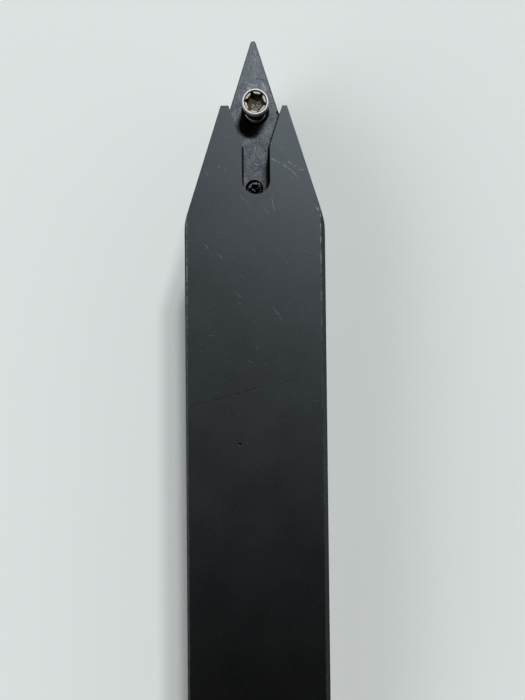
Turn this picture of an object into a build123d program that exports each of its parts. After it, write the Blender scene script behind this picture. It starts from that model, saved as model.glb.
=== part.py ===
from build123d import *
from math import atan, cos, radians, sin, tan
import os

# A neutral turning tool holder for 35 degree diamond inserts. All sizes are in millimetres.
# The shank lies along Y with the nose at +Y, the base face is on Z = 0, and the origin is in the
# middle of the base.

# Insert that the seat is cut for
insert_circle = 9.525          # inscribed circle of the diamond
insert_angle = 35.0            # its cutting corner, degrees
insert_thickness = 4.76
insert_relief = 5.0            # side relief of the insert and slope of the pocket walls, degrees
gauge_nose_radius = 0.8        # corner radius of the insert that the length is measured to

# Shank
shank_width = 25.0
shank_height = 25.0
functional_length = 150.0      # rear face to the corner of the gauge insert
shank_chamfer = 0.8            # along three of the long edges
left_top_chamfer = 0.4         # along the top edge at -X, which is broken less
rear_chamfer = 0.8

# Head
flank_angle = 17.5             # each flank against the shank, degrees
corner_radius = 8.0            # where a flank runs into the side of the shank
prong_half_width = 5.9         # axis to the outer edge of a prong's flat end
prong_setback = 0.65           # flat ends of the prongs behind the insert's centre

# Nose under the insert
nose_relief = 5.0              # inward slope of the nose going down, degrees
nose_radius = 0.53
nose_root_fillet = 1.0
nose_root_depth = 4.0          # how far the nose reaches back into the head

# Pocket and the slot behind it
pocket_offset = 0.28           # the pocket lies this far off the axis of the shank
slot_width = 5.0
slot_setback = 14.0            # centre of the slot's round end behind the insert's centre
cutter_overrun = 1.0           # how far the cutters stand out of the metal

# Tapped holes: holes and screws are carried at the core of the thread
tap_drill = 3.3
thread_clearance = 0.05
clamp_hole_depth = 10.0
countersink_diameter = 5.2
countersink_angle = 90.0

# Clamp screw
clamp_length = 12.0            # top of the head to the point
clamp_stand = 4.96             # top of the head above the seat
clamp_head_diameter = 4.8
clamp_land_height = 2.0        # straight side of the head
clamp_cone_angle = 60.0        # cone under the head, whole angle, degrees
clamp_point_chamfer = 0.5
rim_bevel = 0.14               # outer edge of the head
rim_inner_bevel = 0.08
rim_recess_diameter = 3.98     # shallow recess inside the rim
rim_recess_depth = 0.3
lobe_circle = 3.94             # across the tips of the key socket's lobes
lobe_waist = 2.82              # across the flanks between the lobes
lobe_tip_radius = 0.31
lobe_count = 6
lobe_turn = -10.0              # direction of the first lobe from +X, degrees
socket_mouth_diameter = 3.14   # lead-in cone that cuts the tops of the flanks
socket_depth = 1.5

# Set screw in the slot
grub_setback = 14.3            # its hole behind the insert's centre
grub_length = 6.0
grub_recess = 0.6              # its top below the seat
grub_chamfer = 0.3
grub_key = 2.0                 # across the flats of its hexagon socket
grub_key_depth = 2.0

# Positions worked out from the sizes above
half_angle = radians(insert_angle / 2)
half_slope = tan(half_angle)
seat_z = shank_height - insert_thickness
seat_inradius = insert_circle / 2 - insert_thickness * tan(radians(insert_relief))
diamond_reach = seat_inradius / sin(half_angle)
gauge_reach = (insert_circle / 2 - gauge_nose_radius) / sin(half_angle) + gauge_nose_radius
nose_edge_lean = atan(tan(radians(nose_relief)) / sin(half_angle))
nose_centre_reach = (seat_inradius - nose_radius / cos(radians(nose_relief))) / sin(half_angle)
nose_reach = nose_centre_reach + nose_radius / cos(nose_edge_lean)
overall_length = functional_length - gauge_reach + nose_reach
rear_y = -overall_length / 2
insert_y = rear_y + functional_length - gauge_reach
prong_y = insert_y - prong_setback
corner_y = prong_y - (shank_width / 2 - prong_half_width) / tan(radians(flank_angle))
grub_y = insert_y - grub_setback
tap_radius = tap_drill / 2
core_radius = tap_radius - thread_clearance
clamp_top_z = seat_z + clamp_stand
grub_top_z = seat_z - grub_recess
near = 0.001                   # tolerance for picking edges by their position

os.makedirs("parts", exist_ok=True)

# Holder body: one bar with its head milled to a point, and the seat and the holes cut into it
with BuildPart() as holder_body:
    # Shank and head seen from above
    with BuildSketch() as plan:
        with BuildLine():
            Polyline(
                (0, rear_y),
                (shank_width / 2, rear_y),
                (shank_width / 2, corner_y),
                (prong_half_width, prong_y),
                (0, prong_y),
            )
            mirror(about=Plane.YZ)
        make_face()
        flank_feet = plan.vertices().filter_by_position(Axis.Y, corner_y - near, corner_y + near)
        fillet(flank_feet, corner_radius)
    extrude(amount=shank_height)
    chamfer(holder_body.faces().sort_by(Axis.Y)[0].edges(), rear_chamfer)

    # Chamfered section of the bar
    with BuildSketch(Plane.XZ.offset(-rear_y)):
        half_width = shank_width / 2
        with BuildLine():
            Polyline(
                (-half_width + shank_chamfer, 0),
                (half_width - shank_chamfer, 0),
                (half_width, shank_chamfer),
                (half_width, shank_height - shank_chamfer),
                (half_width - shank_chamfer, shank_height),
                (-half_width + left_top_chamfer, shank_height),
                (-half_width, shank_height - left_top_chamfer),
                (-half_width, shank_chamfer),
                close=True,
            )
        make_face()
    extrude(amount=-overall_length, mode=Mode.INTERSECT)

    # Nose: a diamond point that narrows going down
    with BuildSketch(Plane.XY.offset(seat_z)):
        nose_root_half_width = (diamond_reach + nose_root_depth) * half_slope
        with BuildLine():
            Polyline(
                (0, insert_y + diamond_reach),
                (nose_root_half_width, insert_y - nose_root_depth),
                (-nose_root_half_width, insert_y - nose_root_depth),
                close=True,
            )
        make_face()
    extrude(amount=seat_z, dir=(0, 0, -1), taper=nose_relief)
    fillet(holder_body.edges().sort_by(Axis.Y)[-1], nose_radius)

    # Rounded corners where the nose grows out of the flat ends of the prongs
    prong_edges = holder_body.edges().filter_by_position(Axis.Y, prong_y - near, prong_y + near)
    nose_roots = prong_edges.filter_by_position(Axis.Z, seat_z / 2 - near, seat_z / 2 + near)
    fillet(nose_roots, nose_root_fillet)

    # Pocket: a V whose walls lean outwards going up, open at the nose
    with BuildSketch(Plane.XY.offset(seat_z)):
        pocket_front = nose_reach + cutter_overrun
        pocket_half_width = (diamond_reach + pocket_front) * half_slope
        with BuildLine():
            Polyline(
                (pocket_offset, insert_y - diamond_reach),
                (pocket_offset + pocket_half_width, insert_y + pocket_front),
                (pocket_offset - pocket_half_width, insert_y + pocket_front),
                close=True,
            )
        make_face()
    extrude(amount=insert_thickness + cutter_overrun, taper=-insert_relief, mode=Mode.SUBTRACT)

    # Slot that runs back out of the V to a round end
    with BuildSketch(Plane.XY.offset(seat_z)):
        with Locations((pocket_offset, insert_y - slot_setback / 2)):
            SlotCenterToCenter(slot_setback, slot_width, rotation=90)
    extrude(amount=insert_thickness + cutter_overrun, mode=Mode.SUBTRACT)

    # Tapped hole of the clamp screw with a countersunk mouth, and the tapped hole in the slot
    with Locations((pocket_offset, insert_y, seat_z)):
        CounterSinkHole(tap_radius, countersink_diameter / 2, clamp_hole_depth, countersink_angle)
    with Locations((0, grub_y, seat_z)):
        Hole(tap_radius, grub_recess + grub_length)

holder_body.part.label = "holder_body"
export_step(holder_body.part, "parts/holder_body.step")

# Clamp screw: a round head with a straight side and a cone under it, on a threaded core
clamp_axis = Axis((pocket_offset, insert_y, 0), (0, 0, 1))
clamp_half_plane = Plane((pocket_offset, insert_y, clamp_top_z), x_dir=(1, 0, 0), z_dir=(0, -1, 0))
clamp_radius = clamp_head_diameter / 2
recess_radius = rim_recess_diameter / 2
cone_height = (clamp_radius - core_radius) / tan(radians(clamp_cone_angle / 2))

with BuildPart() as clamp_screw:
    with BuildSketch(clamp_half_plane):
        with BuildLine():
            Polyline(
                (0, -rim_recess_depth),
                (recess_radius, -rim_recess_depth),
                (recess_radius + rim_inner_bevel, 0),
                (clamp_radius - rim_bevel, 0),
                (clamp_radius, -rim_bevel),
                (clamp_radius, -clamp_land_height),
                (core_radius, -clamp_land_height - cone_height),
                (core_radius, clamp_point_chamfer - clamp_length),
                (core_radius - clamp_point_chamfer, -clamp_length),
                (0, -clamp_length),
                close=True,
            )
        make_face()
    revolve(axis=clamp_axis)

    # Key socket: round lobes joined by tangent hollows, the radius of a hollow following from both
    lobe_centre = lobe_circle / 2 - lobe_tip_radius
    lobe_pitch = 360 / lobe_count
    inward = lobe_centre * cos(radians(lobe_pitch / 2))
    waist = lobe_waist / 2
    hollow_radius = (lobe_centre**2 + waist**2 - 2 * inward * waist - lobe_tip_radius**2) / (
        2 * (lobe_tip_radius - waist + inward)
    )
    hollow_centre = waist + hollow_radius
    tangent_share = lobe_tip_radius / (lobe_tip_radius + hollow_radius)
    socket_plane = Plane((pocket_offset, insert_y, clamp_top_z - rim_recess_depth))
    with BuildSketch(socket_plane):
        with BuildLine():
            for i in range(lobe_count):
                lobe_angle = lobe_turn + i * lobe_pitch
                lobe = Vector(lobe_centre, 0).rotate(Axis.Z, lobe_angle)
                lobe_tip = Vector(lobe_circle / 2, 0).rotate(Axis.Z, lobe_angle)
                before = Vector(hollow_centre, 0).rotate(Axis.Z, lobe_angle - lobe_pitch / 2)
                after = Vector(hollow_centre, 0).rotate(Axis.Z, lobe_angle + lobe_pitch / 2)
                hollow_bed = Vector(waist, 0).rotate(Axis.Z, lobe_angle + lobe_pitch / 2)
                next_lobe = lobe.rotate(Axis.Z, lobe_pitch)
                lobe_start = lobe + (before - lobe) * tangent_share
                lobe_end = lobe + (after - lobe) * tangent_share
                next_start = next_lobe + (after - next_lobe) * tangent_share
                ThreePointArc(lobe_start, lobe_tip, lobe_end)
                ThreePointArc(lobe_end, hollow_bed, next_start)
        make_face()
    extrude(amount=-socket_depth, mode=Mode.SUBTRACT)
    with BuildSketch(socket_plane):
        Circle(socket_mouth_diameter / 2)
    extrude(amount=(lobe_waist - socket_mouth_diameter) / 2, taper=45, mode=Mode.SUBTRACT)

clamp_screw.part.label = "clamp_screw"
export_step(clamp_screw.part, "parts/clamp_screw.step")

# Set screw: a headless core that stands on the bottom of its hole, with a hexagon socket
grub_axis = Axis((0, grub_y, 0), (0, 0, 1))
grub_half_plane = Plane((0, grub_y, grub_top_z), x_dir=(1, 0, 0), z_dir=(0, -1, 0))

with BuildPart() as grub_screw:
    with BuildSketch(grub_half_plane):
        with BuildLine():
            Polyline(
                (0, 0),
                (core_radius - grub_chamfer, 0),
                (core_radius, -grub_chamfer),
                (core_radius, grub_chamfer - grub_length),
                (core_radius - grub_chamfer, -grub_length),
                (0, -grub_length),
                close=True,
            )
        make_face()
    revolve(axis=grub_axis)
    with BuildSketch(Plane((0, grub_y, grub_top_z))):
        RegularPolygon(grub_key / 2, side_count=6, major_radius=False)
    extrude(amount=-grub_key_depth, mode=Mode.SUBTRACT)

grub_screw.part.label = "grub_screw"
export_step(grub_screw.part, "parts/grub_screw.step")
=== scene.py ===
"""Dress of the turning tool holder: finishes, screw threads, dirt, lamps and camera.

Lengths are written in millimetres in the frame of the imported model, which has X across the
shank, Y towards the nose and Z up from the base face. They become metres where a mesh, a lamp
or the camera is made.
"""
import logging
import math
from dataclasses import dataclass, field
from enum import Enum
from functools import reduce
from typing import Any, Mapping, Optional, Sequence, Union

import bmesh
import bpy
import numpy as np
from mathutils import Matrix, Vector


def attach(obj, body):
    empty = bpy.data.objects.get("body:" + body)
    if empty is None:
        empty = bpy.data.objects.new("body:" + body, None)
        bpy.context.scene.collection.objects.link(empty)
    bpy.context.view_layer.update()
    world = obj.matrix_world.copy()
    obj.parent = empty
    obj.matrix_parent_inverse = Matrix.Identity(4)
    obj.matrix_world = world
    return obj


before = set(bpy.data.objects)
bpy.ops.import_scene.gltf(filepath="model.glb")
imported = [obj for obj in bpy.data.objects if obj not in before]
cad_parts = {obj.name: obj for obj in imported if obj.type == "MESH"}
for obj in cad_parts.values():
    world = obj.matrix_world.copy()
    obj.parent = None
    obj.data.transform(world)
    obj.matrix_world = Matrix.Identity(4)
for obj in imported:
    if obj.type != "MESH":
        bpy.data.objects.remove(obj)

LOG = logging.getLogger("turning_tool_holder")
MM = 0.001
FULL_TURN = 2.0 * math.pi
NOISE_SHIFT = 17.3
NOISE_MIDDLE = 0.5
Colour = tuple[float, float, float]
Point = tuple[float, float]
Place = tuple[float, float, float]
Span = tuple[float, float]
Numbers = tuple[float, ...]
Faces = list[list[int]]


class Body(Enum):
    """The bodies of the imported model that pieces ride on."""

    HOLDER = "holder"
    SCREW = "screw"


class Slot(Enum):
    """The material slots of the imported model."""

    BLACKENED = "blackened_steel"
    SCREW = "screw_steel"
    SET_SCREW = "set_screw_steel"


@dataclass(frozen=True)
class Layout:
    """Sizes that the pieces share with the solids, in millimetres."""

    screw_axis: Point = (0.28, 61.394)
    grub_axis: Point = (0.0, 47.094)
    seat_z: float = 20.24
    top_z: float = 25.0
    cone_foot_z: float = 21.81
    grub_z: float = 19.64
    core_radius: float = 1.6
    pitch: float = 0.7
    shank_half: float = 12.5
    edge_break: float = 0.8
    left_edge_break: float = 0.4


LAYOUT = Layout()


# Node graphs


class Wire:
    """An output socket that adds Math nodes when it is written in an expression."""

    def __init__(self, graph: "Graph", socket: bpy.types.NodeSocket) -> None:
        """Keeps the graph and the socket.

        Args:
            graph: The graph that the socket belongs to.
            socket: The output socket.
        """
        self.graph = graph
        self.socket = socket

    def _math(self, operation: str, *terms: "Value") -> "Wire":
        """Adds one Math node.

        Args:
            operation: The node's operation.
            terms: The values or wires of its sockets, in order.

        Returns:
            The wire of the result.
        """
        return self.graph.node("ShaderNodeMath", {"operation": operation}, dict(enumerate(terms)))

    def __add__(self, other: "Value") -> "Wire":
        """The sum."""
        return self._math("ADD", self, other)

    __radd__ = __add__

    def __sub__(self, other: "Value") -> "Wire":
        """The difference."""
        return self._math("SUBTRACT", self, other)

    def __rsub__(self, other: "Value") -> "Wire":
        """The difference with this wire last."""
        return self._math("SUBTRACT", other, self)

    def __mul__(self, other: "Value") -> "Wire":
        """The product."""
        return self._math("MULTIPLY", self, other)

    __rmul__ = __mul__

    def __truediv__(self, other: "Value") -> "Wire":
        """The quotient."""
        return self._math("DIVIDE", self, other)

    def __abs__(self) -> "Wire":
        """The size without its sign."""
        return self._math("ABSOLUTE", self)

    def at_least(self, other: "Value") -> "Wire":
        """The larger of the two."""
        return self._math("MAXIMUM", self, other)

    def at_most(self, other: "Value") -> "Wire":
        """The smaller of the two."""
        return self._math("MINIMUM", self, other)


Value = Union[Wire, float, Sequence[float]]


class Graph:
    """The node graph of one finish or of the world, with its coordinates in millimetres."""

    def __init__(self, owner: Union[bpy.types.Material, bpy.types.World]) -> None:
        """Empties the owner's node tree.

        Args:
            owner: The material or world that the graph belongs to.
        """
        owner.use_nodes = True
        self.owner = owner
        self.tree = owner.node_tree
        self.tree.nodes.clear()
        self._noise_count = 0

    def node(
        self,
        kind: str,
        settings: Optional[Mapping[str, Any]] = None,
        inputs: Optional[Mapping[Union[int, str], Value]] = None,
        output: Union[int, str, None] = 0,
    ) -> Optional[Wire]:
        """Adds a node.

        Args:
            kind: The node's type.
            settings: Its settings, set first.
            inputs: The values or wires of its sockets, by name or number.
            output: The output that is returned, or None for a node without one.

        Returns:
            The wire of that output.
        """
        made = self.tree.nodes.new(kind)
        for name, value in (settings or {}).items():
            setattr(made, name, value)
        for name, value in (inputs or {}).items():
            if isinstance(value, Wire):
                self.tree.links.new(value.socket, made.inputs[name])
            else:
                made.inputs[name].default_value = value
        return None if output is None else Wire(self, made.outputs[output])

    def place(self) -> Wire:
        """The object coordinates in millimetres."""
        metres = self.node("ShaderNodeTexCoord", output="Object")
        return self.scaled(metres, 1 / MM)

    def facing(self) -> tuple[Wire, Wire, Wire]:
        """The parts of the surface's direction, in the object's own axes."""
        return self.parts(self.node("ShaderNodeTexCoord", output="Normal"))

    def parts(self, vector: Wire) -> tuple[Wire, Wire, Wire]:
        """The three parts of a vector."""
        split = self.node("ShaderNodeSeparateXYZ", None, {0: vector})
        outputs = split.socket.node.outputs
        return Wire(self, outputs[0]), Wire(self, outputs[1]), Wire(self, outputs[2])

    def vector(self, x: Value, y: Value, z: Value) -> Wire:
        """A vector from its three parts."""
        return self.node("ShaderNodeCombineXYZ", None, {0: x, 1: y, 2: z})

    def _vectors(
        self, operation: str, inputs: Mapping[Union[int, str], Value], output: Union[int, str] = 0
    ) -> Wire:
        """Adds one Vector Math node.

        Args:
            operation: The node's operation.
            inputs: The values or wires of its sockets, by name or number.
            output: The output that is returned.

        Returns:
            The wire of that output.
        """
        return self.node("ShaderNodeVectorMath", {"operation": operation}, inputs, output)

    def scaled(self, vector: Value, factor: Value) -> Wire:
        """A vector or a colour times a number."""
        return self._vectors("SCALE", {0: vector, "Scale": factor})

    def less(self, vector: Wire, other: Value) -> Wire:
        """A vector less another."""
        return self._vectors("SUBTRACT", {0: vector, 1: other})

    def dot(self, vector: Wire, other: Value) -> Wire:
        """The dot product of two vectors."""
        return self._vectors("DOT_PRODUCT", {0: vector, 1: other}, "Value")

    def length(self, vector: Wire) -> Wire:
        """The length of a vector."""
        return self._vectors("LENGTH", {0: vector}, "Value")

    def away(self, point: Wire, centre: Union[Point, Place]) -> Wire:
        """The distance from a centre, which lies at height 0 where it has no height."""
        return self.length(self.less(point, (*centre, 0.0)[:3]))

    def step(self, value: Wire, low: float, high: float) -> Wire:
        """A smooth step: 0 at low, 1 at high. Low may be the larger of the two."""
        return self.node(
            "ShaderNodeMapRange",
            {"interpolation_type": "SMOOTHSTEP"},
            {"Value": value, "From Min": low, "From Max": high},
        )

    def band(self, value: Wire, low: float, high: float, soft: float) -> Wire:
        """1 between low and high, and 0 outside them, with soft ends."""
        return self.step(value, low - soft, low + soft) * self.step(value, high + soft, high - soft)

    def spot(self, distance: Wire, radius: float, core: float) -> Wire:
        """1 within core times the radius, and 0 beyond the radius."""
        return self.step(distance, radius, radius * core)

    def noise(self, vector: Wire, per_mm: float, detail: float = 3.0, rough: float = 0.55) -> Wire:
        """Smooth noise from 0 to 1. Each call reads another part of the pattern."""
        self._noise_count += 1
        shift = NOISE_SHIFT * self._noise_count
        moved = self.less(vector, (-shift, shift, 0.0))
        return self.node(
            "ShaderNodeTexNoise",
            None,
            {"Vector": moved, "Scale": per_mm, "Detail": detail, "Roughness": rough},
        )

    def blend(self, factor: Wire, first: Value, second: Value) -> Wire:
        """The number first where factor is 0, and second where it is 1."""
        return self.node("ShaderNodeMix", {"data_type": "FLOAT"}, {0: factor, 2: first, 3: second})

    def tint(self, factor: Wire, first: Union[Wire, Colour], second: Union[Wire, Colour]) -> Wire:
        """The colour first where factor is 0, and second where it is 1."""
        return self.node(
            "ShaderNodeMix", {"data_type": "RGBA"}, {0: factor, 6: opaque(first), 7: opaque(second)}, 2
        )

    def run(self, point: Wire, start: Point, end: Point) -> Wire:
        """The distance from a flat line's run.

        With along = clamp((p - a).(b - a) / |b - a|^2, 0, 1), it is |(p - a) - along (b - a)|.

        Args:
            point: The coordinates, with their height made 0.
            start: The run's start, a.
            end: The run's end, b.

        Returns:
            The distance in millimetres.
        """
        way = (end[0] - start[0], end[1] - start[1], 0.0)
        square = way[0] ** 2 + way[1] ** 2
        offset = self.less(point, (start[0], start[1], 0.0))
        along = (self.dot(offset, way) / square).at_least(0.0).at_most(1.0)
        return self.length(self.less(offset, self.scaled(way, along)))

    def edges(self, radius: float, samples: int) -> tuple[Wire, Wire]:
        """The rounded direction of the surface, and how much it turns from the flat one.

        Args:
            radius: The radius of the broken edges, in millimetres.
            samples: The samples of the Bevel node.

        Returns:
            The rounded direction, and 0 on a flat face to about 0.3 on a square edge.
        """
        rounded = self.node("ShaderNodeBevel", {"samples": samples}, {"Radius": radius * MM})
        flat = self.node("ShaderNodeNewGeometry", output="Normal")
        return rounded, 1.0 - self.dot(rounded, flat)

    def bump(self, height: Wire, normal: Wire) -> Wire:
        """The direction of the surface with its relief.

        Args:
            height: The relief in millimetres.
            normal: The direction before the relief.

        Returns:
            The direction after it.
        """
        return self.node("ShaderNodeBump", None, {"Height": height, "Distance": MM, "Normal": normal})

    def finish(
        self, colour: Wire, roughness: Wire, normal: Wire, metallic: Value = 1.0
    ) -> bpy.types.Material:
        """Ends the graph in a metal shader.

        Args:
            colour: The reflected colour.
            roughness: The roughness.
            normal: The direction of the surface.
            metallic: 1 for clean metal, less under dirt.

        Returns:
            The finished material.
        """
        shader = self.node(
            "ShaderNodeBsdfPrincipled",
            None,
            {"Base Color": colour, "Roughness": roughness, "Normal": normal, "Metallic": metallic},
        )
        return self.end(shader, "ShaderNodeOutputMaterial")

    def end(self, shader: Wire, kind: str) -> Union[bpy.types.Material, bpy.types.World]:
        """Links a shader to an output node.

        Args:
            shader: The shader's wire.
            kind: The output node's type.

        Returns:
            The finished material or world.
        """
        self.node(kind, None, {"Surface": shader}, None)
        return self.owner


def opaque(colour: Union[Wire, Colour]) -> Value:
    """A colour with its alpha, or a wire as it is."""
    return colour if isinstance(colour, Wire) else (*colour, 1.0)


def mixed(shares: Numbers, *wires: Wire) -> Wire:
    """A constant plus a share of each wire.

    Args:
        shares: The constant, then the share of each wire.
        wires: The wires.

    Returns:
        shares[0] + shares[1] wires[0] + shares[2] wires[1], and so on.
    """
    terms = (wire * share for wire, share in zip(wires, shares[1:]))
    return sum(terms, shares[0])


def swing(noise: Wire, width: float) -> Wire:
    """Noise that swings about 0, by half the width to each side."""
    return (noise - NOISE_MIDDLE) * width


# Finishes. A Span holds the two ends of a smooth step. A name that ends in noise holds the scale
# per millimetre, the detail and the roughness, and one that ends in shares goes to mixed. Edge
# holds the radius and the samples of the broken edges.


@dataclass(frozen=True)
class Scratch:
    """A mark seen from above, along flat runs from point to point."""

    points: tuple[Point, ...]
    half_width: float
    depth: float
    core: float = 0.4
    broken: Span = (0.38, 0.56)

    def mask(self, graph: Graph, flat: Wire, breaks: Wire) -> Wire:
        """1 on the mark and 0 beside it, thinned where breaks is low.

        Args:
            graph: The finish's graph.
            flat: The coordinates with their height made 0.
            breaks: Noise from 0 to 1 that breaks the line.

        Returns:
            The mask, times the mark's depth.
        """
        runs = [graph.run(flat, a, b) for a, b in zip(self.points, self.points[1:])]
        line = graph.spot(reduce(Wire.at_most, runs), self.half_width, self.core)
        return line * graph.step(breaks, *self.broken) * self.depth


@dataclass(frozen=True)
class Surface:
    """What the masks of the holder's finish read: coordinates, faces as masks, and noises."""

    graph: Graph
    place: Wire
    flat: Wire
    sheet: Wire
    x: Wire
    y: Wire
    z: Wire
    top: Wire
    seat: Wire
    nose: Wire
    breaks: Wire
    drift: Wire


@dataclass(frozen=True)
class BlackenedSteel:
    """The satin blackened steel of the holder: darker top, mottled seat, rubbed edges, marks and painted
    shade.
    """

    face_tone: Colour = (0.044, 0.050, 0.055)
    # Painted shade: the tone that the top face darkens to towards the rear of the shank.
    rear_painted_shade_tone: Colour = (0.0245, 0.0250, 0.0255)
    seat_tone: Colour = (0.040, 0.046, 0.052)
    seat_light: Colour = (0.094, 0.103, 0.115)
    nose_tone: Colour = (0.074, 0.083, 0.089)
    streak_tone: Colour = (0.150, 0.165, 0.180)
    # Painted shadow: the tone of the clamp screw's shadow on the seat.
    painted_shadow_tone: Colour = (0.017, 0.014, 0.012)
    rubbed_tone: Colour = (0.150, 0.156, 0.158)
    bare_tone: Colour = (0.420, 0.425, 0.420)
    # Pits, the stain and the ring on the nose share this tone with the painted shade along the seat's
    # walls.
    pit_and_shade_tone: Colour = (0.006, 0.006, 0.007)
    face_shares: Numbers = (0.62, 0.22, 0.26, 0.30)
    floor_shares: Numbers = (-0.10, 0.95, 1.25)
    patch_shares: Numbers = (0.0, 0.75, 0.55, 0.5)
    patch_span: Span = (0.62, 1.18)
    nose_share: float = 0.7
    face_roughness: float = 0.47
    cloud_roughness: float = 0.10
    seat_roughness: float = 0.52
    rubbed_roughness: float = 0.40
    relief_shares: Numbers = (0.0, 0.0022, 0.0012, 1.0, -0.03, -0.006)
    pore_shares: Numbers = (0.0, 0.012, 0.004)
    cloud_noise: Numbers = (0.13, 4.0)
    grain_noise: Numbers = (2.3, 4.0, 0.65)
    break_noise: Numbers = (1.1, 4.0, 0.6)
    lay_noise: Numbers = (1.0, 3.0, 0.6)
    lay_stretch: Point = (7.0, 0.3)
    mottle_noise: Numbers = (1.7, 3.0, 0.6)
    sand_noise: Numbers = (4.6, 2.0, 0.5)
    drift_noise: Numbers = (0.45, 3.0, 0.5)
    upward: Span = (0.55, 0.85)
    top_span: Span = (LAYOUT.top_z - 0.10, LAYOUT.top_z - 0.03)
    rear_shade_span: Span = (4.0, -44.0)
    seat_band: float = 0.35
    seat_soft: float = 0.05
    nose_span: Span = (63.5, 67.5)
    edge: tuple[float, int] = (0.12, 4)
    edge_turn: Span = (0.015, 0.12)
    edge_broken: Span = (0.40, 0.66)
    edge_share: float = 0.7
    line_gap: Span = (0.22, 0.06)
    line_rise: Span = (LAYOUT.top_z - 0.3, LAYOUT.top_z - 0.1)
    line_reach: Span = (14.0, 30.0)
    line_shares: Numbers = (0.15, 0.7)
    line_broken: Span = (0.42, 0.60)
    speck_noise: Numbers = (2.6, 1.0, 0.3)
    speck_span: Span = (0.732, 0.79)
    speck_share: float = 0.13
    hair_angles: Numbers = (0.5, 1.9, 2.7)
    hair_stretch: Point = (5.0, 0.16)
    hair_noise: Numbers = (1.0, 1.0, 0.3)
    hair_span: Span = (0.76, 0.80)
    hair_share: float = 0.06
    patchy_noise: Numbers = (0.11, 2.0)
    patchy_span: Span = (0.50, 0.66)
    slot_half: float = 2.5
    slot_end_y: float = 47.394
    slot_mouth: Span = (55.37, 54.57)
    flank_angle: float = 17.5
    apex_y: float = 46.94
    # Painted shade along the foot of the seat's walls: width, core, wobble, reach and shares.
    foot_shade_width: float = 0.36
    foot_shade_core: float = 0.6
    foot_shade_swing: float = 0.16
    foot_shade_reach: Span = (LAYOUT.screw_axis[1] + 1.0, LAYOUT.screw_axis[1] - 1.5)
    foot_shade_shares: Numbers = (0.6, 0.4)
    wall_side: Span = (0.5, 2.5)
    wall_shares: Numbers = (0.12, 0.7)
    rim_apex_y: float = 75.848
    rim_gap: Span = (0.26, 0.10)
    rim_reach: Span = (60.5, 62.5)
    rim_swing: float = 0.15
    rim_share: float = 0.7
    arc_centre: Point = (0.59, 65.11)
    arc_radius: float = 2.50
    arc_line: Span = (0.10, 0.02)
    arc_slant: float = 0.55
    arc_reach: Span = (65.0, 65.6)
    arc_least: float = 0.6
    arc_broken: Span = (0.40, 0.56)
    arc_share: float = 0.50
    polish_soft: float = 0.9
    polish_reach: Span = (64.2, 65.4)
    polish_broken: Span = (0.46, 0.60)
    # Painted shadow of the clamp screw's head on the seat: its centre, radius, core and wobble.
    painted_shadow_centre: Point = (-1.05, 59.10)
    painted_shadow_radius: float = 2.8
    painted_shadow_core: float = 0.45
    painted_shadow_swing: float = 1.2
    pit_core: float = 0.5
    scratches: tuple[Scratch, ...] = (
        Scratch(((3.08, 51.20), (5.15, 50.11), (6.32, 49.25), (7.20, 48.49), (7.93, 47.36)), 0.10, 0.20),
        Scratch(((6.04, 50.65), (6.78, 50.20)), 0.11, 0.22),
        Scratch(((6.62, 49.45), (7.66, 50.19)), 0.09, 0.16),
        Scratch(((6.78, 50.94), (7.70, 50.00), (8.69, 49.14)), 0.09, 0.14),
        Scratch(((7.80, 49.30), (8.54, 49.14)), 0.09, 0.15),
        Scratch(((3.07, 43.99), (3.29, 42.77), (3.64, 41.73)), 0.10, 0.10),
        Scratch(((-2.60, 44.74), (-1.02, 42.77)), 0.09, 0.06),
        Scratch(((-8.90, 49.38), (-8.32, 48.19)), 0.10, 0.10),
        Scratch(((10.98, 42.43), (11.45, 41.68)), 0.11, 0.26),
        Scratch(((-8.72, 35.89), (-8.34, 35.23)), 0.12, 0.16),
        Scratch(((-6.67, 34.39), (-5.88, 33.56)), 0.12, 0.11),
        Scratch(((4.68, 33.96), (5.33, 34.13)), 0.09, 0.12),
        Scratch(((-2.58, 30.52), (-1.70, 29.92)), 0.12, 0.09),
        Scratch(((-8.33, 29.53), (-6.34, 28.54)), 0.09, 0.15),
        Scratch(((-3.78, 27.58), (-2.53, 26.54)), 0.10, 0.12),
        Scratch(((2.96, 25.01), (4.56, 22.55)), 0.09, 0.12),
        Scratch(((-8.08, 23.78), (-7.49, 23.60)), 0.10, 0.10),
        Scratch(((-8.26, 19.87), (-7.52, 19.86)), 0.10, 0.10),
        Scratch(((-0.05, 17.97), (0.38, 17.38)), 0.12, 0.12),
        Scratch(((-1.40, 15.34), (-0.67, 15.04)), 0.12, 0.09),
        Scratch(((10.14, 8.18), (10.81, 8.17)), 0.10, 0.12),
        Scratch(((7.43, 2.64), (8.14, 0.88)), 0.08, 0.06),
        Scratch(((4.81, 4.57), (5.43, 5.15)), 0.08, 0.05),
        Scratch(((-3.35, 1.30), (-2.75, 0.20)), 0.10, 0.08),
    )
    stains: tuple[Scratch, ...] = (
        Scratch(((-11.72, 7.39), (-6.74, 8.65), (-2.63, 9.69), (-0.27, 10.43)), 0.30, 0.24),
        Scratch(((-0.27, 10.43), (4.44, 11.32), (7.39, 12.02)), 0.24, 0.14),
    )
    pits: tuple[tuple[Place, float], ...] = (
        ((-3.00, 0.70, 25.0), 0.30),
        ((-2.98, 0.25, 25.0), 0.22),
        ((4.48, 61.30, 20.24), 0.50),
        ((4.60, 60.62, 20.30), 0.34),
        ((4.42, 59.30, 22.5), 0.30),
    )
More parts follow.
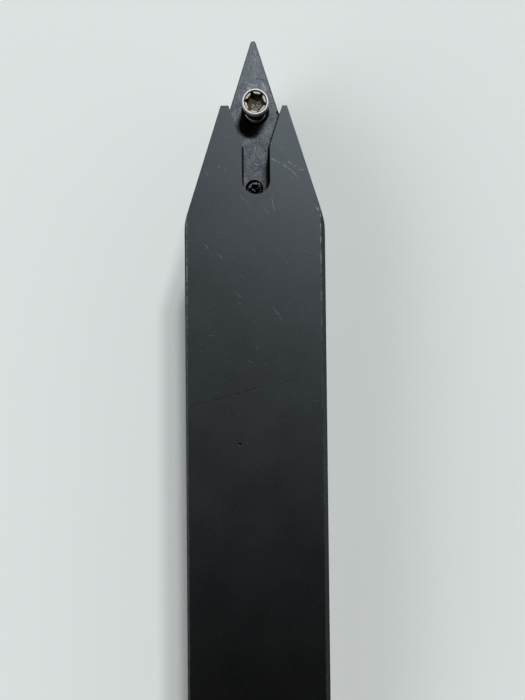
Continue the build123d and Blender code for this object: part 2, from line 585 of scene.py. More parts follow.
    rubs: tuple[Scratch, ...] = (
        Scratch(((0.55, 52.25), (0.95, 51.95), (0.60, 51.60), (0.15, 51.75)), 0.16, 0.9),
        Scratch(((0.15, 55.45), (0.30, 54.75), (0.10, 54.20)), 0.13, 0.7),
        Scratch(((-0.95, 50.95), (-0.60, 50.45)), 0.12, 0.7),
        Scratch(((-0.40, 53.30), (0.05, 53.05)), 0.11, 0.6),
        Scratch(((0.70, 50.30), (0.35, 49.85)), 0.11, 0.5),
        Scratch(((-1.30, 56.60), (-1.00, 56.20)), 0.12, 0.5),
        Scratch(((0.22, 72.62), (0.30, 70.75), (0.29, 67.75)), 0.34, 0.42),
        Scratch(((0.75, 71.68), (0.98, 70.74)), 0.26, 0.40),
        Scratch(((0.88, 69.43), (0.98, 68.87)), 0.22, 0.38),
        Scratch(((-1.22, 66.60), (-1.10, 66.00), (-0.85, 65.50)), 0.62, 0.85),
        Scratch(((-0.60, 66.75), (0.10, 66.35), (0.85, 66.50)), 0.30, 0.55),
        Scratch(((1.68, 66.72), (2.19, 65.78), (2.28, 65.13)), 0.20, 0.85),
        Scratch(((-1.85, 65.33), (-1.57, 64.77)), 0.28, 0.45),
        Scratch(((0.03, 74.12), (0.03, 74.00)), 0.20, 1.0),
    )

    def build(self) -> bpy.types.Material:
        """Makes the finish.

        Returns:
            The material.
        """
        graph = Graph(bpy.data.materials.new(Slot.BLACKENED.value + "_finish"))
        place = graph.place()
        x, y, z = graph.parts(place)
        nx, ny, nz = graph.facing()
        flat = graph.vector(x, y, 0.0)
        up = graph.step(nz, *self.upward)
        top = up * graph.step(z, *self.top_span)
        low, high = LAYOUT.seat_z - self.seat_band, LAYOUT.seat_z + self.seat_band
        seat = up * graph.band(z, low, high, self.seat_soft)
        nose = seat * graph.step(y, *self.nose_span)
        across = x * (1.0 - abs(nx)) + z * abs(nx)
        along = y * (1.0 - abs(ny)) + z * abs(ny)
        sheet = graph.vector(across, along, 0.0)

        clouds = graph.noise(place, *self.cloud_noise)
        grain = graph.noise(place, *self.grain_noise)
        breaks = graph.noise(place, *self.break_noise)
        wide, long = self.lay_stretch
        lay = graph.noise(graph.vector(across * wide, along * long, 0.0), *self.lay_noise)
        mottle = graph.noise(place, *self.mottle_noise)
        sand = graph.noise(place, *self.sand_noise)
        drift = graph.noise(place, *self.drift_noise)
        surface = Surface(graph, place, flat, sheet, x, y, z, top, seat, nose, breaks, drift)

        # Painted shade: the top face darkens towards the rear of the shank.
        face = graph.tint(graph.step(y, *self.rear_shade_span), self.face_tone, self.rear_painted_shade_tone)
        face = graph.scaled(face, mixed(self.face_shares, clouds, grain, sand))
        patches = graph.step(mixed(self.patch_shares, mottle, sand, drift), *self.patch_span)
        floor = graph.tint(patches, self.seat_tone, self.seat_light)
        floor = graph.tint(nose * self.nose_share, floor, self.nose_tone)
        floor = graph.tint(self._polish(surface), floor, self.streak_tone)
        for mark in self.rubs:
            floor = graph.tint(mark.mask(graph, flat, breaks), floor, self.streak_tone)
        # Painted shadow: the seat darkens where the clamp screw's head casts its shadow, behind and left
        # of the screw.
        shadow_reach = graph.away(flat, self.painted_shadow_centre) + swing(drift, self.painted_shadow_swing)
        floor = graph.tint(graph.spot(shadow_reach, self.painted_shadow_radius, self.painted_shadow_core), floor, self.painted_shadow_tone)
        floor = graph.scaled(floor, mixed(self.floor_shares, grain, sand))
        colour = graph.tint(seat, face, floor)

        bare = self._bare(surface)
        rounded, turn = graph.edges(*self.edge)
        rubbed = graph.step(turn, *self.edge_turn) * graph.step(breaks, *self.edge_broken)
        rubbed = rubbed * (1.0 - seat) * self.edge_share
        rubbed = rubbed.at_least(self._chamfer_line(surface)).at_most(1.0)
        colour = graph.tint(rubbed, colour, self.rubbed_tone)
        colour = graph.tint(bare, colour, self.bare_tone)
        rim_gap = self._flank_gap(self.rim_apex_y - y, x) + swing(breaks, self.rim_swing)
        rim = graph.step(rim_gap, *self.rim_gap) * graph.step(y, *self.rim_reach)
        colour = graph.tint(rim * seat * self.rim_share, colour, self.seat_tone)
        dark = self._dark(surface)
        # Painted shade along the foot of the seat's walls, in the tone of the pits.
        colour = graph.tint(dark.at_least(self._wall_foot_shade(surface)), colour, self.pit_and_shade_tone)

        roughness = self.face_roughness + swing(clouds, self.cloud_roughness)
        roughness = graph.blend(seat, roughness, self.seat_roughness)
        roughness = graph.blend(rubbed.at_least(bare), roughness, self.rubbed_roughness)
        pores = seat * mixed(self.pore_shares, mottle, sand)
        relief = mixed(self.relief_shares, grain, lay * (1.0 - seat), pores, dark, bare)
        return graph.finish(colour, roughness, graph.bump(relief, rounded))

    def _bare(self, surface: Surface) -> Wire:
        """Where scratches, specks and hairlines bare the steel.

        Args:
            surface: The coordinates, faces and noises.

        Returns:
            0 on whole finish to 1 on bare steel.
        """
        graph, sheet = surface.graph, surface.sheet
        marks = [mark.mask(graph, surface.flat, surface.breaks) * surface.top for mark in self.scratches]
        specks = graph.step(graph.noise(sheet, *self.speck_noise), *self.speck_span) * self.speck_share
        patchy = graph.step(graph.noise(sheet, *self.patchy_noise), *self.patchy_span)
        wide, long = self.hair_stretch
        for angle in self.hair_angles:
            lengthwise, sideways = math.cos(angle), math.sin(angle)
            across = graph.dot(sheet, (lengthwise, sideways, 0.0)) * wide
            along = graph.dot(sheet, (-sideways, lengthwise, 0.0)) * long
            hair = graph.noise(graph.vector(across, along, angle), *self.hair_noise)
            marks.append(graph.step(hair, *self.hair_span) * patchy * self.hair_share)
        return reduce(Wire.at_least, marks, specks)

    def _chamfer_line(self, surface: Surface) -> Wire:
        """The dotted rubbed line where the top face meets the long chamfers.

        Args:
            surface: The coordinates, faces and noises.

        Returns:
            The mask.
        """
        graph = surface.graph
        right_gap = abs(surface.x - (LAYOUT.shank_half - LAYOUT.edge_break))
        left_gap = abs(surface.x + (LAYOUT.shank_half - LAYOUT.left_edge_break))
        line = graph.step(right_gap.at_most(left_gap), *self.line_gap)
        line = line * graph.step(surface.z, *self.line_rise)
        reach = mixed(self.line_shares, graph.step(surface.y, *self.line_reach))
        return line * reach * graph.step(surface.breaks, *self.line_broken)

    def _polish(self, surface: Surface) -> Wire:
        """Where inserts have polished the nose, in patches inside the ring.

        Args:
            surface: The coordinates, faces and noises.

        Returns:
            The mask.
        """
        graph = surface.graph
        inside = graph.away(surface.flat, self.arc_centre)
        ring = graph.step(inside, self.arc_radius, self.arc_radius - self.polish_soft)
        ring = ring * graph.step(surface.y, *self.polish_reach)
        return ring * graph.step(surface.breaks, *self.polish_broken) * surface.drift

    def _flank_gap(self, ahead: Wire, side: Wire) -> Wire:
        """The distance from the nearer flank of a V: ahead sin a - |side| cos a.

        Args:
            ahead: The distance from its apex along its axis.
            side: The distance from its axis.

        Returns:
            The distance in millimetres.
        """
        lean = math.radians(self.flank_angle)
        return ahead * math.sin(lean) - abs(side) * math.cos(lean)

    def _wall_foot_shade(self, surface: Surface) -> Wire:
        """Painted shade on the seat along the foot of its walls, darker on the right side.

        With q = (x - axis, min(y - end, 0)), a point of the slot is slot half width - |q| from its
        wall.

        Args:
            surface: The coordinates, faces and noises.

        Returns:
            The mask.
        """
        graph, y = surface.graph, surface.y
        side = surface.x - LAYOUT.screw_axis[0]
        behind = (y - self.slot_end_y).at_most(0.0)
        slot_gap = self.slot_half - graph.length(graph.vector(side, behind, 0.0))
        gap = slot_gap.at_least(self._flank_gap(y - self.apex_y, side))
        gap = gap + swing(surface.breaks, self.foot_shade_swing)
        in_slot = graph.step(y, *self.slot_mouth)
        gap = gap / mixed(self.foot_shade_shares, in_slot)
        share = in_slot.at_least(mixed(self.wall_shares, graph.step(side, *self.wall_side)))
        line = graph.spot(gap, self.foot_shade_width, self.foot_shade_core) * surface.seat
        return line * graph.step(y, *self.foot_shade_reach) * share

    def _dark(self, surface: Surface) -> Wire:
        """Where pits, the stain and the ring on the nose are darker.

        Args:
            surface: The coordinates, faces and noises.

        Returns:
            0 to 1 where it is darkest.
        """
        graph, breaks = surface.graph, surface.breaks
        ring = abs(graph.away(surface.flat, self.arc_centre) - self.arc_radius)
        reach = graph.step(surface.y + surface.x * self.arc_slant, *self.arc_reach)
        dark = graph.step(ring, *self.arc_line) * reach * surface.nose.at_least(self.arc_least)
        dark = dark * graph.step(breaks, *self.arc_broken) * self.arc_share
        for stain in self.stains:
            dark = dark.at_least(stain.mask(graph, surface.flat, breaks) * surface.top)
        for centre, radius in self.pits:
            gap = graph.away(surface.place, centre) + swing(breaks, radius)
            dark = dark.at_least(graph.spot(gap, radius, self.pit_core))
        return dark


@dataclass(frozen=True)
class ScrewSteel:
    """The steel of the clamp screw: bright rim, sides darkened downwards by painted shade, painted shade
    in the rim's recess corner, and a drive socket brown with dirt.
    """

    rim_tone: Colour = (0.395, 0.403, 0.392)
    tooth_tone: Colour = (0.250, 0.243, 0.223)
    side_tone: Colour = (0.400, 0.430, 0.450)
    # Painted shade: the dark ring in the corner of the rim's recess.
    corner_shade_tone: Colour = (0.020, 0.017, 0.013)
    # Painted shade: the near black that the head's side darkens to below the rim.
    neck_shade_tone: Colour = (0.016, 0.017, 0.018)
    thread_tone: Colour = (0.60, 0.60, 0.57)
    wall_tone: Colour = (0.060, 0.052, 0.036)
    dirt_tone: Colour = (0.050, 0.034, 0.017)
    ash_tone: Colour = (0.230, 0.226, 0.178)
    glint_tone: Colour = (0.620, 0.620, 0.580)
    rust_tone: Colour = (0.120, 0.066, 0.030)
    shade_shares: Numbers = (0.80, 0.25, 0.15)
    inner_shares: Numbers = (0.0, 0.6, 0.5)
    rim_roughness: float = 0.50
    side_roughness: float = 0.45
    dirt_roughness: float = 0.75
    dirt_cover: float = 0.85
    side_cover: float = 0.75
    relief_shares: Numbers = (0.0, 0.003, 0.002, 0.03)
    patch_noise: Numbers = (1.6, 4.0, 0.6)
    grit_noise: Numbers = (7.0, 3.0, 0.6)
    ring_noise: Numbers = (6.0, 2.0, 0.5)
    edge: tuple[float, int] = (0.05, 4)
    edge_turn: Span = (0.02, 0.15)
    edge_broken: Span = (0.35, 0.55)
    edge_share: float = 0.7
    inside_span: Span = (2.04, 2.00)
    head_span: Span = (23.1, 23.2)
    rim_span: Span = (24.86, 24.78)
    deep_span: Span = (24.82, 24.1)
    side_span: Span = (25.02, 24.96)
    neck_shade_span: Span = (24.65, 23.95)
    crown_span: Span = (1.97, 2.03)
    corner_ring: Numbers = (1.87, 2.02, 0.05)
    corner_rise: Numbers = (24.77, 25.02, 0.03)
    corner_share: float = 0.9
    thread_ring: Span = (LAYOUT.core_radius + 0.14, LAYOUT.core_radius + 0.26)
    thread_rise: Span = (LAYOUT.cone_foot_z - 0.2, LAYOUT.cone_foot_z - 0.4)
    ash_place: Place = (0.45, -0.70, 23.75)
    ash_radius: float = 1.25
    ash_core: float = 0.2
    ash_swing: float = 1.2
    ash_shares: Numbers = (0.06, 0.92)
    ash_noise: Numbers = (3.2, 3.0, 0.6)
    ash_span: Span = (0.34, 0.60)
    rust_side: Span = (0.3, -1.2)
    rust_span: Span = (0.35, 0.6)
    curl_noise: Numbers = (1.5, 1.0, 0.4)
    curl_line: Span = (0.045, 0.015)
    curl_ring: Span = (1.625, 0.875)
    curl_share: float = 0.9

    def build(self) -> bpy.types.Material:
        """Makes the finish.

        Returns:
            The material.
        """
        graph = Graph(bpy.data.materials.new(Slot.SCREW.value + "_finish"))
        place = graph.place()
        centred = graph.less(place, (*LAYOUT.screw_axis, 0.0))
        x, y, z = graph.parts(centred)
        radius = graph.length(graph.vector(x, y, 0.0))
        patch = graph.noise(place, *self.patch_noise)
        grit = graph.noise(place, *self.grit_noise)
        rings = graph.noise(graph.vector(radius, radius, z), *self.ring_noise)

        inside = graph.step(radius, *self.inside_span) * graph.step(z, *self.head_span)
        socket = inside * graph.step(z, *self.rim_span)
        filled = socket * graph.step(z, *self.deep_span)
        # Painted shade: a dark ring in the corner where the recess meets the rim.
        recess_shade = graph.band(radius, *self.corner_ring) * graph.band(z, *self.corner_rise)
        threads = graph.step(radius, *self.thread_ring) * graph.step(z, *self.thread_rise)
        # Painted shade: the head's side darkens downwards to near black on the cone and below.
        neck_shade = graph.step(z, *self.neck_shade_span)
        side = graph.step(z, *self.side_span) * (1.0 - inside)

        outer = graph.tint(neck_shade, self.side_tone, self.neck_shade_tone)
        outer = graph.tint(threads, outer, self.thread_tone)
        crown = graph.tint(graph.step(radius, *self.crown_span), self.tooth_tone, self.rim_tone)
        colour = graph.tint(side, crown, outer)
        colour = graph.tint(recess_shade * self.corner_share, colour, self.corner_shade_tone)
        colour = graph.tint(socket, colour, self._muck(graph, place, centred, patch))
        rounded, turn = graph.edges(*self.edge)
        rubbed = graph.step(turn, *self.edge_turn) * graph.step(patch, *self.edge_broken)
        rubbed = rubbed * (1.0 - socket.at_least(recess_shade).at_least(neck_shade))
        colour = graph.tint(rubbed * self.edge_share, colour, self.rim_tone)
        colour = graph.scaled(colour, mixed(self.shade_shares, patch, rings))

        clean = graph.blend(side, self.rim_roughness, self.side_roughness)
        roughness = graph.blend(filled, clean, self.dirt_roughness)
        cover = (filled * self.dirt_cover).at_least(side * (1.0 - neck_shade) * self.side_cover)
        relief = mixed(self.relief_shares, grit, rings, filled * patch)
        return graph.finish(colour, roughness, graph.bump(relief, rounded), 1.0 - cover)

    def _muck(self, graph: Graph, place: Wire, centred: Wire, patch: Wire) -> Wire:
        """The colour of the socket's walls and of the ashy, rusty dirt lower down.

        Args:
            graph: The finish's graph.
            place: The coordinates.
            centred: The coordinates from the screw's axis.
            patch: Noise that spreads the dirt.

        Returns:
            The colour.
        """
        x, _, z = graph.parts(centred)
        spread = graph.away(centred, self.ash_place)
        ash = graph.spot(spread + swing(patch, self.ash_swing), self.ash_radius, self.ash_core)
        sifted = graph.step(graph.noise(place, *self.ash_noise), *self.ash_span)
        ash = mixed(self.ash_shares, ash) * sifted
        rust = graph.step(x, *self.rust_side) * graph.step(patch, *self.rust_span)
        muck = graph.tint(ash, graph.tint(rust, self.dirt_tone, self.rust_tone), self.ash_tone)
        line = abs(graph.noise(place, *self.curl_noise) - NOISE_MIDDLE)
        curls = graph.step(line, *self.curl_line) * graph.step(spread, *self.curl_ring)
        muck = graph.tint(curls * self.curl_share, muck, self.glint_tone)
        depth = mixed(self.inner_shares, graph.step(z, *self.deep_span), patch)
        return graph.tint(depth.at_most(1.0), self.wall_tone, muck)


@dataclass(frozen=True)
class SetScrewSteel:
    """The blackened steel of the set screw: greasy and black, with bare glints on its rim."""

    body_tone: Colour = (0.012, 0.012, 0.013)
    bare_tone: Colour = (0.520, 0.530, 0.540)
    roughness: float = 0.40
    patch_roughness: float = 0.3
    relief_shares: Numbers = (0.0, 0.02, 0.03)
    patch_noise: Numbers = (2.4, 4.0, 0.6)
    grit_noise: Numbers = (6.0, 3.0, 0.6)
    edge: tuple[float, int] = (0.05, 4)
    bare_span: Span = (0.68, 0.76)
    bare_share: float = 0.3
    body_rise: Span = (-1.1, -0.6)
    chip_rise: Span = (0.12, 0.18)
    glint_core: float = 0.3
    glint_swing: float = 2.0
    glints: tuple[tuple[Point, float], ...] = (
        ((0.35, 1.12), 1.00),
        ((1.05, 0.95), 0.60),
        ((-0.45, 0.50), 0.62),
        ((-0.25, -0.45), 0.66),
    )

    def build(self) -> bpy.types.Material:
        """Makes the finish.

        Returns:
            The material.
        """
        graph = Graph(bpy.data.materials.new(Slot.SET_SCREW.value + "_finish"))
        place = graph.place()
        x, y, z = graph.parts(graph.less(place, (*LAYOUT.grub_axis, LAYOUT.grub_z)))
        flat = graph.vector(x, y, 0.0)
        patch = graph.noise(place, *self.patch_noise)
        grit = graph.noise(place, *self.grit_noise)
        bare = graph.step(patch, *self.bare_span) * self.bare_share
        for centre, radius in self.glints:
            gap = graph.away(flat, centre) + swing(patch, self.glint_swing)
            bare = bare.at_least(graph.spot(gap, radius, self.glint_core))
        bare = bare * self.bare_share * graph.step(z, *self.body_rise)
        bare = bare.at_least(graph.step(z, *self.chip_rise))
        rounded, _ = graph.edges(*self.edge)
        colour = graph.tint(bare, self.body_tone, self.bare_tone)
        roughness = self.roughness + swing(patch, self.patch_roughness)
        relief = mixed(self.relief_shares, grit, patch)
        return graph.finish(colour, roughness, graph.bump(relief, rounded))


@dataclass(frozen=True)
class FloorPaint:
    """The plain pale paint of the floor."""

    tone: Colour = (0.825, 0.850, 0.845)
    roughness: float = 0.0

    def build(self) -> bpy.types.Material:
        """Makes the paint.

        Returns:
            The material.
        """
        graph = Graph(bpy.data.materials.new("floor_paint"))
        shader = graph.node(
            "ShaderNodeBsdfDiffuse", None, {"Color": opaque(self.tone), "Roughness": self.roughness}
        )
        return graph.end(shader, "ShaderNodeOutputMaterial")


# Meshes


def put_in_scene(name: str, data: bpy.types.ID) -> bpy.types.Object:
    """Makes an object of a mesh, a lamp or a camera and links it to the scene.

    Args:
        name: The object's name.
        data: What it shows.

    Returns:
        The object.
    """
    made = bpy.data.objects.new(name, data)
    bpy.context.scene.collection.objects.link(made)
    return made


def ring_sides(rings: np.ndarray) -> tuple[np.ndarray, Faces]:
    """The side faces between rings of points.

    Face (i, j) joins points j and j + 1 of ring i to the same points of ring i + 1.

    Args:
        rings: Points, as rings by points by 3.

    Returns:
        The number of each point, as rings by points, and the faces.
    """
    count, around = rings.shape[:2]
    index = np.arange(count * around).reshape(count, around)
    here, ahead = index[:-1], index[1:]
    sides = np.stack([here, np.roll(here, -1, 1), np.roll(ahead, -1, 1), ahead], -1)
    return index, sides.reshape(-1, 4).tolist()


def closed_tube(rings: np.ndarray) -> tuple[np.ndarray, Faces]:
    """A closed tube through rings of points, with a flat cap on each end.

    Args:
        rings: Points, as rings by points by 3.

    Returns:
        The points and the faces.
    """
    index, faces = ring_sides(rings)
    return rings.reshape(-1, 3), faces + [index[0, ::-1].tolist(), index[-1].tolist()]


def closed_shell(rings: np.ndarray, first: Place, last: Place) -> tuple[np.ndarray, Faces]:
    """A closed shell through rings of points, with a single point at each end.

    Args:
        rings: Points, as rings by points by 3.
        first: The pole before the first ring.
        last: The pole after the last ring.

    Returns:
        The points and the faces.
    """
    index, faces = ring_sides(rings)
    around = index.shape[1]
    start, end = index.size, index.size + 1
    opening = np.stack([np.roll(index[0], -1), index[0], np.full(around, start)], -1)
    closing = np.stack([index[-1], np.roll(index[-1], -1), np.full(around, end)], -1)
    points = np.concatenate([rings.reshape(-1, 3), [first], [last]])
    return points, faces + opening.tolist() + closing.tolist()


@dataclass(frozen=True)
class Dressing:
    """How a new piece is put into the scene: its body and its finish. Its slot is kept but not used."""

    body: Body
    slot: Slot
    material: bpy.types.Material
    crease: float = 40.0

    def add(self, name: str, points: np.ndarray, faces: Faces) -> bpy.types.Object:
        """Makes a piece, with its place in its mesh, and lets it ride on its body.

        Args:
            name: The piece's name.
            points: Its points in millimetres.
            faces: Its faces.

        Returns:
            The piece.
        """
        mesh = bpy.data.meshes.new(name)
        mesh.from_pydata((points * MM).tolist(), [], faces)
        work = bmesh.new()
        work.from_mesh(mesh)
        bmesh.ops.recalc_face_normals(work, faces=work.faces[:])
        work.to_mesh(mesh)
        work.free()
        mesh.polygons.foreach_set("use_smooth", np.ones(len(mesh.polygons), dtype=bool))
        mesh.set_sharp_from_angle(angle=math.radians(self.crease))
        mesh.materials.append(self.material)
        piece = put_in_scene(name, mesh)
        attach(piece, self.body.value)
        LOG.info("made %s: %d faces on %s", name, len(mesh.polygons), self.body.value)
        return piece


# Threads


@dataclass(frozen=True)
class ThreadRidge:
    """A screw thread's ridge along a helix, outward from a core or inward from a bore."""

    axis: Point
    foot_z: float
    turns: float
    root_radius: float
    crest_radius: float
    start_turn: float = 0.0
    half_root: float = 0.30
    half_crest: float = 0.045
    bury: float = 0.05
    fade: float = 0.22
    steps: int = 72

    def rings(self) -> np.ndarray:
        """The cross-sections along the helix.

        At turn t the points lie at angle 2 pi t and height foot + pitch (t - start) + u, at a
        radius of root + rise (crest - root), where rise is 1 on the crest, 0 at the root and
        -bury behind it, and fades to 0 towards both ends of the helix.

        Returns:
            Points in millimetres, as rings by points by 3.
        """
        way = math.copysign(1.0, self.crest_radius - self.root_radius)
        height = abs(self.crest_radius - self.root_radius)
        turn = np.linspace(0.0, self.turns, int(self.turns * self.steps) + 1)
        ends = np.minimum(turn, self.turns - turn) / self.fade
        fade = np.sin(np.clip(ends, 0.0, 1.0) * FULL_TURN / 4.0)
        lift = np.array([-self.half_root, -self.half_root, -self.half_crest, self.half_crest,
                         self.half_root, self.half_root])
        rise = np.array([-self.bury, 0.0, height, height, 0.0, -self.bury])
        risen = np.where(rise[None, :] > 0.0, rise[None, :] * fade[:, None], rise[None, :])
        radius = self.root_radius + way * risen
        angle = (turn + self.start_turn)[:, None] * FULL_TURN
        level = self.foot_z + LAYOUT.pitch * turn[:, None] + lift[None, :]
        return np.stack(
            [self.axis[0] + radius * np.cos(angle), self.axis[1] + radius * np.sin(angle), level], -1
        )


# Dirt


@dataclass(frozen=True)
class DirtPad:
    """Packed dirt on the floor of a drive socket, with a lumpy top."""

    axis: Point
    floor_z: float
    mean_radius: float
    lobe_depth: float
    lobe_count: int
    lobe_turn: float
    thickness: float
    relief: float
    seed: int
    sink: float = 0.02
    dome: Point = (0.6, 0.4)
    wave_limit: float = 5.5
    bands: int = 14
    around: int = 72
    waves: int = 9

    def shell(self) -> tuple[np.ndarray, Faces]:
        """The closed pad.

        At share s of the way out and angle a, the point lies at s (mean + lobe cos(n (a - turn)))
        from the axis, at the floor's height + thickness (dome 0 + dome 1 s s) + relief times a mean
        of seeded cosine waves over the plane. The underside is the outline, sunk into the floor.

        Returns:
            The points in millimetres and the faces.
        """
        draw = np.random.default_rng(self.seed)
        angle = np.linspace(0.0, FULL_TURN, self.around, endpoint=False)
        share = np.linspace(0.0, 1.0, self.bands + 1)[1:, None]
        outline = self.mean_radius + self.lobe_depth * np.cos(
            self.lobe_count * (angle - math.radians(self.lobe_turn))
        )
        x = share * outline * np.cos(angle)
        y = share * outline * np.sin(angle)
        ways = draw.uniform(-self.wave_limit, self.wave_limit, (self.waves, 2))
        phases = draw.uniform(0.0, FULL_TURN, self.waves)
        swell = np.cos(x[..., None] * ways[:, 0] + y[..., None] * ways[:, 1] + phases).mean(-1)
        middle, rise = self.dome
        level = self.floor_z + self.thickness * (middle + rise * share**2) + self.relief * swell
        top = np.stack([self.axis[0] + x, self.axis[1] + y, level], -1)
        under = top[-1:].copy()
        under[..., 2] = self.floor_z - self.sink
        crown = self.floor_z + self.thickness * middle + self.relief * np.cos(phases).mean()
        first = (self.axis[0], self.axis[1], float(crown))
        last = (self.axis[0], self.axis[1], self.floor_z - self.sink)
        return closed_shell(np.concatenate([top, under]), first, last)


@dataclass(frozen=True)
class Chip:
    """A thin curled metal chip that lies in a socket."""

    centre: Place
    radius: float
    start: float
    sweep: float
    rise: float
    width: float = 0.16
    thickness: float = 0.05
    lean: float = 0.8
    taper_rate: float = 6.0
    taper_end: float = 0.15
    waves: float = 2.5
    steps: int = 40

    def rings(self) -> np.ndarray:
        """The cross-sections along the chip.

        At share s the middle lies at angle start + sweep s on the curl, rise s above its centre,
        and the width swings from side to side as the cosine of the waves, and tapers at both ends.

        Returns:
            Points in millimetres, as rings by points by 3.
        """
        share = np.linspace(0.0, 1.0, self.steps + 1)
        angle = np.radians(self.start + self.sweep * share)
        outward = np.stack([np.cos(angle), np.sin(angle), np.zeros_like(angle)], -1)
        sway = np.cos(share * self.waves * FULL_TURN)
        ends = np.clip(np.minimum(share, 1.0 - share) * self.taper_rate, self.taper_end, 1.0)
        taper = np.sin(ends * FULL_TURN / 4.0)
        middle = np.array(self.centre) + outward * self.radius
        middle[:, 2] += self.rise * share
        tilt = np.stack([outward[:, 0] * sway, outward[:, 1] * sway, np.full_like(sway, self.lean)], -1)
        tilt /= np.linalg.norm(tilt, axis=-1, keepdims=True)
        along = np.stack([-np.sin(angle), np.cos(angle), np.zeros_like(angle)], -1)
        thin = np.cross(tilt, along)
        half_wide = tilt * (self.width / 2.0 * taper)[:, None]
        half_thin = thin * (self.thickness / 2.0)
        return np.stack(
            [middle + half_wide + half_thin, middle - half_wide + half_thin,
             middle - half_wide - half_thin, middle + half_wide - half_thin], 1
        )


# Sub-assemblies


@dataclass
class HolderBody:
    """The blackened holder: the carried-over solid and the thread of its rear tapped hole."""

    finish: BlackenedSteel = field(default_factory=BlackenedSteel)
    thread: ThreadRidge = ThreadRidge(
        axis=LAYOUT.grub_axis, foot_z=19.62, turns=0.62, root_radius=1.65, crest_radius=1.50,
        start_turn=0.62, half_root=0.16,
    )

    def build(self) -> None:
        """Dresses the solid and makes the tapped hole's thread."""
        material = self.finish.build()
        dress_node("holder_body", material)
        dressing = Dressing(Body.HOLDER, Slot.BLACKENED, material)
        dressing.add("rear_hole_thread", *closed_tube(self.thread.rings()))


@dataclass
class ClampScrew:
    """The clamp screw: the carried-over solid, its thread's last turns, and dirt and chips."""

    finish: ScrewSteel = field(default_factory=ScrewSteel)
    thread: ThreadRidge = ThreadRidge(
        axis=LAYOUT.screw_axis, foot_z=19.95, turns=1.35, root_radius=1.60, crest_radius=1.97,
        start_turn=0.55, half_root=0.28,
    )
    dirt: DirtPad = DirtPad(
        axis=LAYOUT.screw_axis, floor_z=23.40, mean_radius=1.71, lobe_depth=0.28, lobe_count=6,
        lobe_turn=-10.0, thickness=0.26, relief=0.30, seed=11,
    )
    chips: tuple[Chip, ...] = (
        Chip(centre=(0.45, 60.55, 23.80), radius=0.55, start=200.0, sweep=150.0, rise=0.10),
        Chip(centre=(0.80, 60.95, 23.82), radius=0.35, start=40.0, sweep=-170.0, rise=0.14),
        Chip(centre=(-0.15, 60.30, 23.84), radius=0.30, start=100.0, sweep=140.0, rise=0.08),
    )

    def build(self) -> None:
        """Dresses the solid and makes its thread, dirt and chips."""
        material = self.finish.build()
        dress_node("clamp_screw", material)
        dressing = Dressing(Body.SCREW, Slot.SCREW, material)
        dressing.add("clamp_screw_thread", *closed_tube(self.thread.rings()))
        dressing.add("clamp_socket_dirt", *self.dirt.shell())
        for number, chip in enumerate(self.chips, start=1):
            dressing.add(f"clamp_socket_chip_{number}", *closed_tube(chip.rings()))


@dataclass
class GrubScrew:
    """The set screw in the rear hole, with dirt in its key socket and chips on top of it."""

    finish: SetScrewSteel = field(default_factory=SetScrewSteel)
    dirt: DirtPad = DirtPad(
        axis=LAYOUT.grub_axis, floor_z=17.64, mean_radius=1.09, lobe_depth=0.06, lobe_count=6,
        lobe_turn=0.0, thickness=1.25, relief=0.75, seed=5, sink=0.01,
    )
    chips: tuple[Chip, ...] = (
        Chip(centre=(0.25, 47.12, 19.93), radius=1.14, start=30.0, sweep=108.0, rise=0.08,
             width=0.26, waves=5.5, steps=64),
        Chip(centre=(-0.53, 47.62, 19.90), radius=0.28, start=60.0, sweep=200.0, rise=0.06,
             width=0.22),
        Chip(centre=(-0.17, 46.74, 19.90), radius=0.27, start=-60.0, sweep=230.0, rise=0.08,
             width=0.20),
    )

    def build(self) -> None:
        """Dresses the solid and makes its dirt and the chips that lie on it."""
        material = self.finish.build()
        dress_node("grub_screw", material)
        dressing = Dressing(Body.HOLDER, Slot.SET_SCREW, material)
        dressing.add("grub_socket_dirt", *self.dirt.shell())
        for number, chip in enumerate(self.chips, start=1):
            dressing.add(f"grub_chip_{number}", *closed_tube(chip.rings()))


def dress_node(name: str, material: bpy.types.Material) -> None:
    """Gives a carried-over solid its finish in every material slot.

    Args:
        name: The node's name.
        material: The finish.
    """
    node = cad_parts[name]
    for slot in node.material_slots:
        slot.material = material
    LOG.info("dressed %s with %s", name, material.name)


# Floor, lamps, camera


@dataclass(frozen=True)
class Lamp:
    """A distant lamp: where it shines from, its strength, its width in degrees and its tint."""

    name: str
    slope: Place
    strength: float
    width: float
    tint: Colour

    def build(self) -> None:
        """Puts the lamp into the scene."""
        light = bpy.data.lights.new(self.name, "SUN")
        light.energy = self.strength
        light.angle = math.radians(self.width)
        light.color = self.tint
        lamp = put_in_scene(self.name, light)
        lamp.rotation_euler = Vector(self.slope).to_track_quat("Z", "Y").to_euler()
        LOG.info("lit %s", self.name)


@dataclass(frozen=True)
class SoftWall:
    """A soft bright wall of the studio: where it stands, where it starts and ends, its level."""

    way: Place
    dark_at: float
    full_at: float
    level: float

    def light(self, sky: Graph, direction: Wire) -> Wire:
        """The wall's brightness: its level times a smooth step of the direction along its way.

        Args:
            sky: The world's graph.
            direction: The direction of the light.

        Returns:
            The brightness.
        """
        return sky.step(sky.dot(direction, self.way), self.dark_at, self.full_at) * self.level


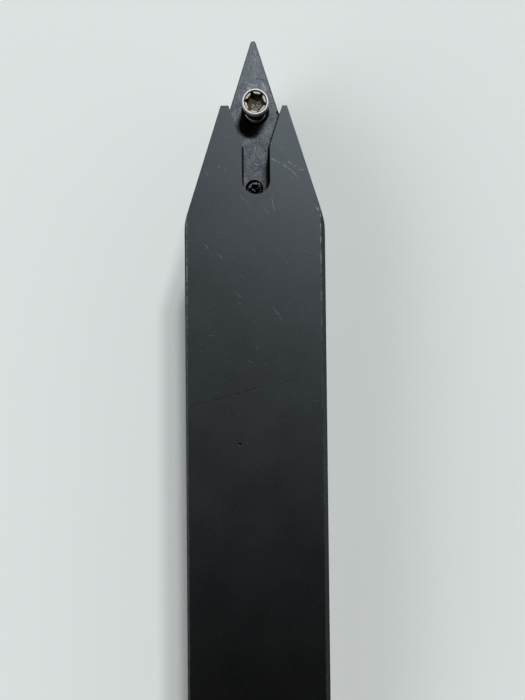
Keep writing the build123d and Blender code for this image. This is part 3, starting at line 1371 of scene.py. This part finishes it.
@dataclass
class Studio:
    """The floor, the lamps and the soft walls round the object, with a dim ceiling."""

    floor_half: float = 3000.0
    lamps: tuple[Lamp, ...] = (
        Lamp("key_lamp", (0.15, 0.54, 1.0), 1.00, 5.5, (0.98, 1.0, 1.0)),
        Lamp("key_lamp_right", (0.30, 0.56, 1.0), 0.87, 6.5, (0.98, 1.0, 1.0)),
        Lamp("left_lamp", (-0.95, -0.10, 1.0), 0.16, 26.0, (1.0, 1.0, 1.0)),
    )
    walls: tuple[SoftWall, ...] = (
        SoftWall((-1.0, 0.0, 0.0), 0.30, 0.80, 1.15),
        SoftWall((0.94, 0.34, 0.0), 0.30, 0.88, 0.56),
        SoftWall((0.0, 1.0, 0.0), 0.50, 0.90, 0.70),
        SoftWall((0.0, -1.0, 0.0), 0.80, 1.00, 0.30),
    )
    ceiling: float = 0.012
    tint: Colour = (0.97, 1.0, 1.0)

    def build(self) -> None:
        """Makes the floor, the world and the lamps."""
        half = self.floor_half * MM
        corners = [(-half, -half, 0), (half, -half, 0), (half, half, 0), (-half, half, 0)]
        mesh = bpy.data.meshes.new("floor")
        mesh.from_pydata(corners, [], [(0, 1, 2, 3)])
        mesh.materials.append(FloorPaint().build())
        put_in_scene("floor", mesh)
        bpy.context.scene.world = self._world()
        for lamp in self.lamps:
            lamp.build()

    def _world(self) -> bpy.types.World:
        """Makes the light from all round.

        Returns:
            The world.
        """
        sky = Graph(bpy.data.worlds.new("studio"))
        direction = sky.node("ShaderNodeTexCoord", output="Generated")
        brightest = reduce(Wire.at_least, [wall.light(sky, direction) for wall in self.walls])
        inputs = {"Color": opaque(self.tint), "Strength": brightest + self.ceiling}
        light = sky.node("ShaderNodeBackground", None, inputs)
        return sky.end(light, "ShaderNodeOutputWorld")


@dataclass(frozen=True)
class Viewpoint:
    """The camera: above the head, looking down, a little turned."""

    place: Place = (-0.76, 14.52, 142.24)
    right: Place = (0.999826, -0.009948, 0.015778)
    up: Place = (0.009580, 0.999684, 0.023223)
    back: Place = (-0.016004, -0.023068, 0.999606)
    focal_length: float = 34.2
    sensor: float = 36.0
    near: float = 0.01
    far: float = 20.0

    def build(self) -> None:
        """Makes the camera and sets it as the scene's."""
        data = bpy.data.cameras.new("camera")
        data.lens = self.focal_length
        data.sensor_width = self.sensor
        data.sensor_fit = "AUTO"
        data.clip_start, data.clip_end = self.near, self.far
        camera = put_in_scene("camera", data)
        turn = Matrix((self.right, self.up, self.back)).transposed().to_4x4()
        camera.matrix_world = Matrix.Translation(Vector(self.place) * MM) @ turn
        bpy.context.scene.camera = camera
        LOG.info("placed the camera")


def main() -> None:
    """Builds the scene piece by piece."""
    logging.basicConfig(level=logging.INFO, format="%(name)s: %(message)s")
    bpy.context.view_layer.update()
    bpy.context.scene.view_settings.view_transform = "Standard"
    Viewpoint().build()
    Studio().build()
    HolderBody().build()
    ClampScrew().build()
    GrubScrew().build()


if __name__ == "__main__":
    main()
